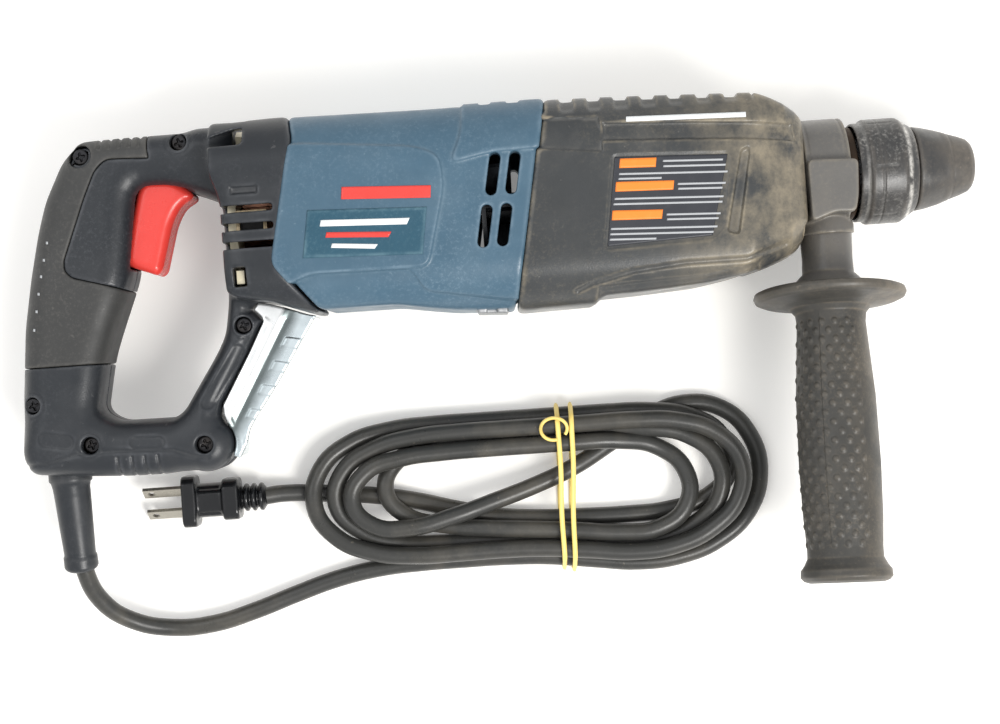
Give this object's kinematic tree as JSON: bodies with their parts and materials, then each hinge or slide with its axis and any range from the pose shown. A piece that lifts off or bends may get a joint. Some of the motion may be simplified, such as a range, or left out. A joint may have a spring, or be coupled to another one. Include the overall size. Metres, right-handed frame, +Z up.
{
  "type": "rotary hammer",
  "caption": "Corded D-handle rotary hammer on its side: tubular motor and gear housing, bit chuck, side handle, folding steel hook and a bundled mains cord with its plug.",
  "frame": {"origin": "on the surface the tool lies on, under the middle of the tool's own box without its cord", "axes": "+X along the spindle towards the chuck, +Y towards the tool's top, +Z up out of its right side"},
  "size_m": [0.4216, 0.2287, 0.0844],
  "materials": {
    "housing_blue": "moulded glass-filled nylon, dusty",
    "black_plastic": "moulded glass-filled nylon, worn",
    "soft_rubber": "matt overmould, brownish with dust",
    "grip_rubber": "matt rubber, worn",
    "red_plastic": "satin",
    "ivory_plastic": "moulded",
    "die_cast": "as cast",
    "steel": "machined",
    "dark_steel": "black oxide",
    "rusty_steel": "light rust",
    "zinc_steel": "bright zinc plate",
    "brass": "satin",
    "copper": "enamelled winding wire",
    "carbon": "graphite",
    "cord_rubber": "matt cord jacket",
    "plug_vinyl": "gloss vinyl",
    "blade_metal": "nickel plate",
    "band_rubber": "translucent latex"
  },
  "bodies": {
    "housing": {"motor_housing": "housing_blue", "gear_cover": "black_plastic", "gear_case": "die_cast", "handle_right": "black_plastic", "handle_left": "black_plastic", "grip_overmould": "soft_rubber", "switch_module": "black_plastic", "stator": "steel", "field_coils": "copper", "air_baffle": "black_plastic", "rear_bearing": "steel", "front_bearing": "steel", "shaft_bearings": "steel", "spindle_bearing": "steel", "nose_seal": "rusty_steel", "hook_pin": "dark_steel", "handle_screws": "dark_steel", "case_screws": "dark_steel", "wire_clip": "ivory_plastic", "cord_clamp": "black_plastic", "strain_relief": "grip_rubber", "cord_lead": "cord_rubber", "cord_hank": "cord_rubber", "cord_tail": "cord_rubber", "rubber_bands": "band_rubber", "plug_body": "plug_vinyl", "plug_blades": "blade_metal"},
    "trigger": {"trigger": "red_plastic"},
    "lock_button": {"lock_button": "red_plastic"},
    "selector": {"selector_knob": "black_plastic"},
    "reverser": {"reversing_ring": "ivory_plastic", "brush_holders": "brass", "carbon_brushes": "carbon"},
    "armature": {"armature_core": "steel", "armature_shaft": "steel", "commutator": "copper", "cooling_fan": "black_plastic"},
    "countershaft": {"countershaft": "steel", "drive_gear": "steel", "wobble_hub": "steel"},
    "wobble": {"wobble_ring": "steel"},
    "spindle": {"tool_spindle": "steel", "spindle_gear": "steel", "locking_balls": "steel", "dust_cap": "grip_rubber", "sleeve_spring": "steel"},
    "sleeve": {"locking_sleeve": "black_plastic"},
    "piston": {"piston": "die_cast"},
    "striker": {"striker": "steel"},
    "beat_piece": {"beat_piece": "steel"},
    "side_clamp": {"clamp_band": "black_plastic", "clamp_neck": "black_plastic", "clamp_bolt": "steel"},
    "side_grip": {"side_grip": "grip_rubber"},
    "hook": {"folding_hook": "zinc_steel"}
  },
  "joints": [
    {"name": "trigger_press", "type": "slide", "parent": "housing", "child": "trigger", "axis": [-0.9659, 0.259, 0], "range_m": [0, 0.006], "stiffness_N_per_m": 800},
    {"name": "lock_button_press", "type": "slide", "parent": "housing", "child": "lock_button", "axis": [0, 0, 1], "range_m": [0, 0.003], "stiffness_N_per_m": 400},
    {"name": "selector_turn", "type": "hinge", "parent": "housing", "child": "selector", "pos_m": [0.0748, 0.0636, 0.002], "axis": [0, 0, -1], "range_deg": [-60, 60]},
    {"name": "reversing_turn", "type": "hinge", "parent": "housing", "child": "reverser", "pos_m": [-0.1052, 0.0636, 0.041], "axis": [1, 0, 0], "range_deg": [-56, 0]},
    {"name": "armature_spin", "type": "hinge", "parent": "housing", "child": "armature", "pos_m": [-0.0432, 0.0636, 0.041], "axis": [1, 0, 0], "continuous": true},
    {"name": "countershaft_spin", "type": "hinge", "parent": "housing", "child": "countershaft", "pos_m": [0.0568, 0.0436, 0.041], "axis": [1, 0, 0], "continuous": true},
    {"name": "spindle_spin", "type": "hinge", "parent": "housing", "child": "spindle", "pos_m": [0.1368, 0.0696, 0.041], "axis": [1, 0, 0], "continuous": true},
    {"name": "sleeve_slide", "type": "slide", "parent": "spindle", "child": "sleeve", "axis": [1, 0, 0], "range_m": [-0.004, 0], "stiffness_N_per_m": 1500, "deforming": ["sleeve_spring"]},
    {"name": "piston_slide", "type": "slide", "parent": "housing", "child": "piston", "axis": [1, 0, 0], "range_m": [-0.006, 0.006]},
    {"name": "wobble_rock", "type": "hinge", "parent": "housing", "child": "wobble", "pos_m": [0.0528, 0.0436, 0.041], "axis": [0, 0, 1], "range_deg": [-14, 14]},
    {"name": "striker_slide", "type": "slide", "parent": "housing", "child": "striker", "axis": [1, 0, 0], "range_m": [0, 0.005]},
    {"name": "beat_piece_slide", "type": "slide", "parent": "housing", "child": "beat_piece", "axis": [1, 0, 0], "range_m": [0, 0.006]},
    {"name": "side_handle_swivel", "type": "hinge", "parent": "housing", "child": "side_clamp", "pos_m": [0.1453, 0.0696, 0.041], "axis": [1, 0, 0], "continuous": true},
    {"name": "grip_twist", "type": "hinge", "parent": "side_clamp", "child": "side_grip", "pos_m": [0.1453, 0.0696, 0.041], "axis": [-0.0349, -0.9897, 0.1391], "range_deg": [0, 540]},
    {"name": "hook_fold", "type": "hinge", "parent": "housing", "child": "hook", "pos_m": [-0.1312, -0.0291, 0.041], "axis": [0, 0, 1], "range_deg": [-85, 0]}
  ],
  "couplings": [
    {"joint": "countershaft_spin", "follows": "armature_spin", "ratio": -0.25},
    {"joint": "spindle_spin", "follows": "armature_spin", "ratio": 0.045455},
    {"joint": "wobble_rock", "follows": "piston_slide", "rad_per_m": -38.462}
  ]
}
